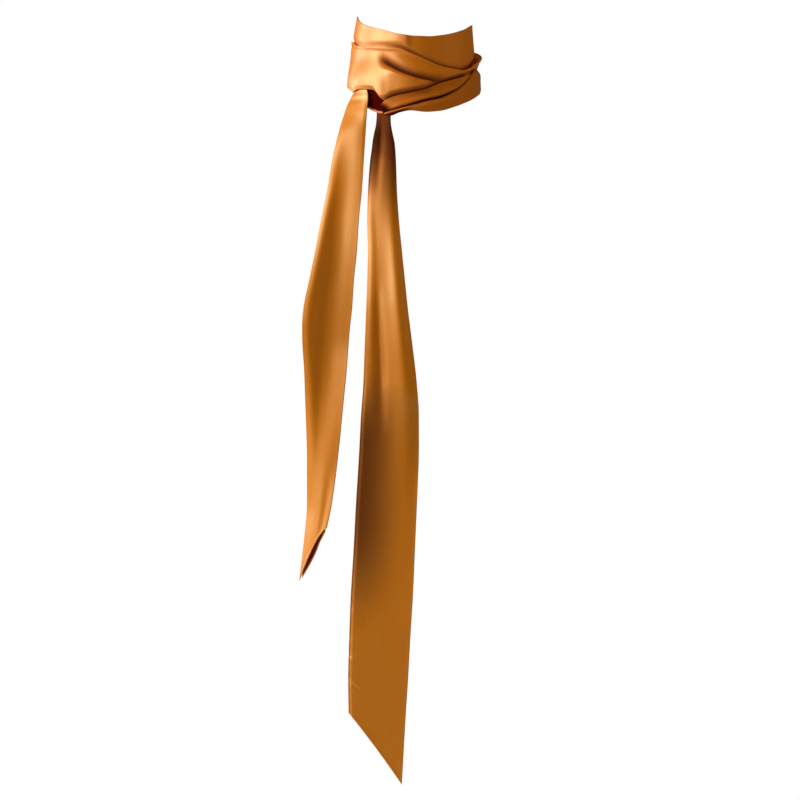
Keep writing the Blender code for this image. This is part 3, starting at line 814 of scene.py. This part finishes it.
def crossing_shade(angle, height):
    """Painted shadow of the knot over the left end, and painted shade in the hem's groove."""
    below = smooth(CROSSING_BAND, "top", angle) - height
    low, high = [at + widens * below for at, widens in zip(KNOT_DARK_PALES, KNOT_DARK_WIDENS)]
    knot_shadow = 1 - ease(angle, low, high)
    groove = HEM_GROOVE_DARK * (1 - ease(off_hem(angle, height), *HEM_GROOVE))
    return np.maximum(knot_shadow, groove * (1 - ease(angle, *HEM_GROOVE_PALES)))


gathered_silk = satin("gathered_satin", SHADED_GATHERED_AMBER, PAINTED_SHADE_RED, gloss=0.15)
crossing_band = band("crossing_band_cloth", CROSSING_BAND, run(CROSSING_BAND, count=380),
                     spread(length=24.0, step=0.5), crossing_lift, shade=crossing_shade)
finish_cloth(crossing_band, "crossing_band",
             material=gathered_silk)

# The lower strand
# The lower of the two gathered strands. It lies on the crossing band, and its left end is the
# thin sliver that the long tail comes down from.

LOWER_CREASES = [
    Crease(6, -55, 60, -40, -2.0, 2.6, 3.0, 0.55),
    Crease(40, -47, 100, -31, -2.0, 2.4, 4.0, 0.6),
    Crease(70, -24, 140, -16, 1.0, 3.0, 3.0, 0.6),
    Crease(110, -24, 200, -20, 2.0, 3.0, 4.0, 0.8),
    Crease(140, -30, 205, -26, -1.0, 2.0, 2.0, 0.4),
]
STRAND_DIPS_OVER = 3.5
TOP_DIPS_BY = 1.0
TOP_DIPS_MORE_AT_SIDE = 0.8
BOTTOM_DIPS_AT_SIDE = 1.2
SIDE_FROM = (62, 76)
SIDE_TO = (110, 125)
# Painted shade in the groove along the strand's top and over its left end.
GROOVE_DARK = 0.8
GROOVE_WIDTH = 1.5
GROOVE_FROM = (-8, 2)
GROOVE_TO = (60, 80)
SLIVER_DARK = 0.95
SLIVER_DARK_BELOW = (1.2, 2.4)
SLIVER_TO = (-10, 2)


def lower_lift(angle, height):
    """The strand lies on the crossing band, with its edges dipped where they go in under it."""
    under = smooth(CROSSING_BAND, "lift", angle) + smooth(CROSSING_BAND, "puff", angle)
    form = strand_lift(LOWER_STRAND, angle, height, under + LAYER)
    off_top = smooth(LOWER_STRAND, "top", angle) - height
    off_bottom = height - smooth(LOWER_STRAND, "bottom", angle)
    side = between(angle, SIDE_FROM, SIDE_TO)
    top_dips = TOP_DIPS_BY + TOP_DIPS_MORE_AT_SIDE * side
    form = form - top_dips * (1 - ease(off_top, 0.0, STRAND_DIPS_OVER))
    form = form - BOTTOM_DIPS_AT_SIDE * side * (1 - ease(off_bottom, 0.0, STRAND_DIPS_OVER))
    return form + creased(LOWER_CREASES, angle, height)


def lower_shade(angle, height):
    """Painted shade in the groove along the strand's top, and over all of its left end but the top.
    """
    off = smooth(LOWER_STRAND, "top", angle) - height
    groove = GROOVE_DARK * between(angle, GROOVE_FROM, GROOVE_TO) * bell(off, GROOVE_WIDTH)
    sliver = ease(off, *SLIVER_DARK_BELOW) * (1 - ease(angle, *SLIVER_TO))
    return np.maximum(groove, SLIVER_DARK * sliver)


lower_strand = band("lower_strand_cloth", LOWER_STRAND, run(LOWER_STRAND, count=380),
                    spread(length=22.0, step=0.5), lower_lift, shade=lower_shade)
finish_cloth(lower_strand, "lower_strand",
             material=gathered_silk)

# The knot
# The short stretch that the knot is tied with passes behind the short tail. Deep in the fold, it
# is darkened with painted shade, all but its lower fold, which catches the light: painted pale.

KNOT_TUCK = [
    Band(-58, -36.0, -49.0),
    Band(-42, -36.0, -56.8),
    Band(-35, -38.0, -60.4),
    Band(-30, -43.0, -62.4),
    Band(-26, -50.8, -63.0),
]
TUCK_HEM_LIFT = 0.5
TUCK_HEM_WIDTH = 2.6
TUCK_HEM_ABOVE_EDGE = 1.0
TUCK_DARKENS_ABOVE_EDGE = (1.0, 2.6)
# The paler amber is a painted highlight on the lower fold, and the pocket's red is painted shade.
HEM_PAINTED_HIGHLIGHT = (0.75, 0.28, 0.10)
POCKET_PAINTED_SHADE = (0.085, 0.003, 0.002)


def tuck_lift(angle, height):
    """The lower fold is a little fuller than the rest."""
    off = height - smooth(KNOT_TUCK, "bottom", angle) - TUCK_HEM_ABOVE_EDGE
    return LAYER + TUCK_HEM_LIFT * bell(off, TUCK_HEM_WIDTH)


def tuck_shade(angle, height):
    """Painted shade over all but the lower fold."""
    return ease(height - smooth(KNOT_TUCK, "bottom", angle), *TUCK_DARKENS_ABOVE_EDGE)


# The tuck's satin: painted highlight on its lower fold, painted shade over the rest, no gloss.
painted_pocket_silk = satin("painted_pocket_satin", HEM_PAINTED_HIGHLIGHT, POCKET_PAINTED_SHADE, gloss=0.0)
knot_tuck = band("knot_tuck_cloth", KNOT_TUCK, run(KNOT_TUCK, count=60),
                 spread(length=20.0, step=0.6), tuck_lift, shade=tuck_shade)
finish_cloth(knot_tuck, "knot_tuck",
             material=painted_pocket_silk)

# The short tail
# The tail at the viewer's left comes out from under the outer turn, widens as it falls and ends
# in a slant. That end is left open, so its front ply shows a rolled hem.

# A tail has a row for each level, by its drop below the neck's middle. Left and right are its
# edges seen from the front, and hollow is how far its middle bows back between them.
Tail = namedtuple("Tail", "drop left right left_depth right_depth hollow wall")
BUNDLE_WALL = 2.4
SHORT_TAIL = [
    Tail(35, -53.5, -41.5, -36, -48, -1.0, BUNDLE_WALL),
    Tail(47, -58.4, -41.2, -36, -52, -1.0, BUNDLE_WALL),
    Tail(54, -61.7, -41.9, -38, -54, -1.5, BUNDLE_WALL),
    Tail(62, -64.2, -42.5, -41, -57, -2.0, BUNDLE_WALL),
    Tail(78, -68.7, -43.4, -49, -61, -3.0, BUNDLE_WALL),
    Tail(107, -75.0, -45.1, -60, -70, -2.0, 2.0),
    Tail(136, -79.4, -46.8, -72, -79, -1.0, 1.6),
    Tail(164, -84.7, -49.5, -81, -86, 0.0, WALL),
    Tail(193, -90.0, -51.2, -88, -91, 1.0, WALL),
    Tail(220, -95.5, -53.9, -92, -93, 1.5, WALL),
    Tail(248, -100.9, -55.7, -95, -95, 1.5, WALL),
    Tail(262, -101.8, -57.3, -96, -96, 1.5, WALL),
    Tail(276, -101.6, -58.5, -96, -97, 1.5, WALL),
    Tail(304, -99.9, -60.5, -95, -101, 1.0, WALL),
    Tail(331, -99.0, -63.1, -93, -103, 0.0, WALL),
    Tail(386, -97.4, -68.6, -90, -105, -3.0, WALL),
    Tail(428, -97.4, -74.3, -88, -107, -3.5, WALL),
    Tail(455, -99.6, -79.8, -88, -106, -3.5, WALL),
    Tail(498, -104.5, -86.5, -88, -104, -2.0, WALL),
]
SHORT_TAIL_TOP = 35.0
SHORT_TAIL_CUT_RIGHT = 449.0
SHORT_TAIL_CUT_LEFT = 498.0
SHORT_TAIL_CUT_SWEEP = 1.5

# A tail is held against the neck down to one level, and hangs free from another.
Seat = namedtuple("Seat", "left_angle right_angle lift leaves_at free_at")
SHORT_TAIL_SEAT = Seat(-59.0, -42.0, 4.65, 36.0, 46.0)

# A fold runs down from one level and share of the width to another. It sinks the tail back by
# its depth, or stands out where that is below zero.
Fold = namedtuple("Fold", "from_drop to_drop from_share to_share half_width depth")
SHORT_TAIL_FOLDS = [
    Fold(60, 430, 0.13, 0.16, 0.15, -4.0),
    Fold(10, 430, 0.50, 0.56, 0.30, 2.8),
    Fold(380, 480, 0.80, 0.72, 0.16, 1.2),
]
FOLD_TAPER = 1.6
CUT_SLANT = 0.75
BULK_GROWS_OVER = 3.0
GOLDEN_AMBER = (0.56, 0.166, 0.002)
HANGING_ROUGHNESS = 0.31


def folded(folds, drop, share):
    """How far the folds sink a tail back at each level and share of its width."""
    total = np.zeros(np.broadcast(drop, share).shape)
    for fold in folds:
        along = (drop - fold.from_drop) / (fold.to_drop - fold.from_drop)
        away = share - mix(fold.from_share, fold.to_share, along)
        taper = np.sin(np.pi * np.clip(along, 0, 1)) ** FOLD_TAPER
        total += fold.depth * taper * bell(away, fold.half_width)
    return total


def tail_middle(rows, folds, seat, drop, share):
    """The middle of a tail's wall at each level and share of its width from the left."""
    left = smooth(rows, "left", drop)
    right = smooth(rows, "right", drop)
    depth = mix(smooth(rows, "left_depth", drop), smooth(rows, "right_depth", drop), share)
    depth = depth + smooth(rows, "hollow", drop) * np.sin(np.pi * share)
    depth = depth + folded(folds, drop, share)
    hanging = np.stack(np.broadcast_arrays(mix(left, right, share), depth, -drop), -1)
    held = neck_point(mix(seat.left_angle, seat.right_angle, share), -drop, seat.lift)
    free = ease(drop, seat.leaves_at, seat.free_at)[..., None]
    return mix(held, hanging, free)


def cut_drop(left_drop, right_drop, sweep, share):
    """Level of the slanted cut at a share of the width from the left."""
    if right_drop < left_drop:
        return right_drop + (left_drop - right_drop) * (1 - share) ** sweep
    return left_drop + (right_drop - left_drop) * share ** sweep


def tail(name, rows, folds, seat, shares, levels, top, end, extra=None, shade=None, grows=0.0):
    """A hanging tail from its top to its slanted end.

    extra moves its wall out, and the wall grows in from nothing over the length grows."""
    share = shares[None, :]
    drop = top + (end(share) - top) * levels[:, None]
    middle = tail_middle(rows, folds, seat, drop, share)
    if extra is not None:
        middle = middle + outward(middle) * extra(drop, share)[..., None]
    width = smooth(rows, "right", drop) - smooth(rows, "left", drop)
    edge = np.minimum(share, 1 - share) * width
    edge = np.minimum(edge, np.minimum(drop - top, (end(share) - drop) * CUT_SLANT))
    bulk = np.clip((smooth(rows, "wall", drop) - WALL) / 2, 0, None)
    half = ply_half(edge) + bulk * ease(edge, 0, BULK_GROWS_OVER)
    if grows:
        half = half * ease(drop, top, top + grows)
    dark = shade(drop, share) if shade else None
    return two_ply(name, middle, half, shade=dark)


def short_end(share):
    return cut_drop(SHORT_TAIL_CUT_LEFT, SHORT_TAIL_CUT_RIGHT, SHORT_TAIL_CUT_SWEEP, share)


hanging_silk = satin("hanging_satin", GOLDEN_AMBER, PAINTED_SHADE_AMBER, 1.0, HANGING_ROUGHNESS)
short_tail = tail("short_tail_cloth", SHORT_TAIL, SHORT_TAIL_FOLDS, SHORT_TAIL_SEAT,
                  shares=spread(length=45.0, step=0.8), levels=spread(length=463.0, step=1.6),
                  top=SHORT_TAIL_TOP, end=short_end)
finish_cloth(short_tail, "short_tail",
             material=hanging_silk)

# The short tail's back ply
# The back ply of the open end hangs a little behind the front one. Its inside is darkened with
# painted shade, and its own hem shows pale beyond the front ply's.

MOUTH_TOP = 436.0
MOUTH_GAP_TOP = 0.4
MOUTH_GAP_END = 3.2
MOUTH_PLY_SWEEP = 1.15
MOUTH_SIDE_SHARES = (0.03, 0.91)
PLIES_PART_OVER = 14.0
# The inside's red is painted shade.
MOUTH_PAINTED_SHADE = (0.34, 0.014, 0.006)
MOUTH_DARK = 0.9
MOUTH_HEM = (1.8, 3.0)


def mouth_end(share):
    return cut_drop(SHORT_TAIL_CUT_LEFT, SHORT_TAIL_CUT_RIGHT, MOUTH_PLY_SWEEP, share)


def mouth_gap(drop, share):
    """How far the back ply hangs behind the front one, more towards the middle of the end."""
    first, last = MOUTH_SIDE_SHARES
    opened = ease(drop, MOUTH_TOP, mouth_end(share))
    across = np.sin(np.pi * (share - first) / (last - first))
    parts = mix(FLAT_HALF, WALL + MOUTH_GAP_TOP, ease(drop, MOUTH_TOP, MOUTH_TOP + PLIES_PART_OVER))
    return -(parts + (MOUTH_GAP_END - MOUTH_GAP_TOP) * opened * across)


def mouth_shade(drop, share):
    """Painted shade over the ply's inside, down to its hem."""
    return MOUTH_DARK * ease(mouth_end(share) - drop, *MOUTH_HEM)


open_end_silk = satin("open_end_satin", GOLDEN_AMBER, MOUTH_PAINTED_SHADE, 1.0, HANGING_ROUGHNESS)
back_ply = tail("short_tail_back_ply_cloth", SHORT_TAIL, SHORT_TAIL_FOLDS, SHORT_TAIL_SEAT,
                shares=np.linspace(*MOUTH_SIDE_SHARES, 40), levels=spread(length=40.0, step=0.8),
                top=MOUTH_TOP, end=mouth_end, extra=mouth_gap, shade=mouth_shade,
                grows=PLIES_PART_OVER)
finish_cloth(back_ply, "short_tail_back_ply",
             material=open_end_silk)

# The long tail
# The tail in the middle comes down from behind the lower strand. Its seam runs along its left
# edge, and its slanted end is sewn shut.

LONG_TAIL = [
    Tail(51, -34.9, -20.0, -56, -58, 0.0, BUNDLE_WALL),
    Tail(67, -34.9, -19.9, -55, -57, 0.0, BUNDLE_WALL),
    Tail(79, -36.7, -18.0, -55, -58, -0.5, BUNDLE_WALL),
    Tail(93, -37.6, -16.2, -58, -62, -1.0, 2.2),
    Tail(108, -39.4, -15.2, -64, -69, -2.0, 2.0),
    Tail(136, -41.2, -14.3, -76, -82, -2.0, 1.7),
    Tail(165, -42.0, -12.4, -84, -92, -1.0, 1.5),
    Tail(193, -41.3, -9.7, -90, -99, -0.5, WALL),
    Tail(221, -41.9, -6.9, -94, -103, 0.0, WALL),
    Tail(248, -42.8, -4.1, -97, -105, 0.0, WALL),
    Tail(276, -43.9, -0.6, -98, -106, 0.0, WALL),
    Tail(317, -45.5, 4.1, -100, -106, 1.0, WALL),
    Tail(345, -47.3, 5.9, -101, -101, 2.0, WALL),
    Tail(373, -48.5, 6.0, -102, -98, 3.0, WALL),
    Tail(428, -51.8, 4.1, -102, -97, 3.0, WALL),
    Tail(469, -54.0, 2.3, -102, -97, 2.5, WALL),
    Tail(510, -56.6, 0.5, -101, -99, 1.5, WALL),
    Tail(552, -58.4, -2.1, -100, -102, 0.0, WALL),
    Tail(589, -59.3, -4.1, -100, -102, 0.0, WALL),
    Tail(618, -58.9, -6.0, -100, -102, 0.0, WALL),
    Tail(685, -58.4, -9.8, -100, -102, 0.0, WALL),
]
LONG_TAIL_TOP = 48.5
LONG_TAIL_CUT_LEFT = 619.0
LONG_TAIL_CUT_RIGHT = 685.0
LONG_TAIL_CUT_SWEEP = 1.0
LONG_TAIL_SEAT = Seat(-34.0, -20.0, -0.15, 62.0, 92.0)
LONG_TAIL_FOLDS = [
    Fold(20, 150, 0.45, 0.30, 0.14, 2.6),
    Fold(120, 360, 0.12, 0.14, 0.11, -1.2),
    Fold(215, 375, 0.28, 0.36, 0.11, 3.8),
    Fold(40, 480, 1.00, 1.00, 0.15, 5.6),
    Fold(140, 430, 0.80, 0.77, 0.20, -3.2),
]

# The seam's two layers inside stop just short of the left edge, which makes a small step there.
SEAM_FROM = 285.0
SEAM_GROWS_OVER = 60
SEAM_FROM_EDGE = 0.9
SEAM_IN = 3.6
SEAM_STEP = 1.25
# Painted shade on the strip outside the seam, along the left edge.
SEAM_EDGE = (0.7, 1.6)
SEAM_DARK = 0.5

Pucker = namedtuple("Pucker", "drop slant half_height reach depth")
SEAM_PUCKERS = [
    Pucker(521.0, 0.3, 4.0, 9.0, 0.9),
    Pucker(549.0, -0.2, 2.5, 6.0, 0.5),
    Pucker(565.5, 0.1, 2.8, 5.0, 1.3),
    Pucker(574.5, 0.3, 2.4, 4.0, 0.6),
    Pucker(589.0, 0.9, 2.0, 5.0, 1.2),
    Pucker(602.0, 0.2, 2.5, 4.0, 0.5),
]

# Painted shade darkens the tail where it comes out of the knot's shade, first at its left edge,
# which is turned under there. Further down it darkens the left half, turned away from the light.
KNOT_DARK = 0.88
KNOT_DARK_FROM = (66, 84)
KNOT_DARK_LATER_OVER = (0.5, 0.9)
KNOT_DARK_TO = 190
TURNED_UNDER = (0.8, 3.0)
TURNED_UNDER_TO = (110, 170)
LEFT_HALF = (0.05, 0.80)
LEFT_HALF_DARK = 0.66
LEFT_HALF_DARKENS = (290, 370)
LEFT_HALF_PALES = (440, 550)


def long_end(share):
    return cut_drop(LONG_TAIL_CUT_LEFT, LONG_TAIL_CUT_RIGHT, LONG_TAIL_CUT_SWEEP, share)


def from_left_edge(drop, share):
    """Distance in from the left edge, where the seam is."""
    return share * (smooth(LONG_TAIL, "right", drop) - smooth(LONG_TAIL, "left", drop))


def seam(drop, share):
    """The tail is thinner outside the seam's layers, and the seam puckers low down."""
    inward = from_left_edge(drop, share)
    here = ease(drop, SEAM_FROM, SEAM_FROM + SEAM_GROWS_OVER)
    step = SEAM_STEP * (ease(inward, SEAM_FROM_EDGE, SEAM_IN) - 1)
    puckers = np.zeros_like(drop + share)
    for pucker in SEAM_PUCKERS:
        off = (drop - pucker.drop - pucker.slant * inward) / pucker.half_height
        puckers += pucker.depth * np.exp(-off * off - inward / pucker.reach)
    return here * step - puckers


def long_shade(drop, share):
    """Painted shade by the knot, beside the seam and where the tail turns from the light."""
    inward = from_left_edge(drop, share)
    here = ease(drop, SEAM_FROM, SEAM_FROM + SEAM_GROWS_OVER)
    beside_seam = SEAM_DARK * here * (1 - ease(inward, *SEAM_EDGE))
    starts = mix(*KNOT_DARK_FROM, ease(share, *KNOT_DARK_LATER_OVER))
    knot_shadow = 1 - ease(drop, starts, KNOT_DARK_TO)
    turned_under = (1 - ease(inward, *TURNED_UNDER)) * (1 - ease(drop, *TURNED_UNDER_TO))
    left_half = between(drop, LEFT_HALF_DARKENS, LEFT_HALF_PALES) * (1 - ease(share, *LEFT_HALF))
    shade = np.maximum(beside_seam, KNOT_DARK * np.maximum(knot_shadow, turned_under))
    return np.maximum(shade, LEFT_HALF_DARK * left_half)


long_tail = tail("long_tail_cloth", LONG_TAIL, LONG_TAIL_FOLDS, LONG_TAIL_SEAT,
                 shares=spread(length=54.0, step=0.8), levels=spread(length=634.0, step=1.4),
                 top=LONG_TAIL_TOP, end=long_end, extra=seam, shade=long_shade)
finish_cloth(long_tail, "long_tail",
             material=hanging_silk)
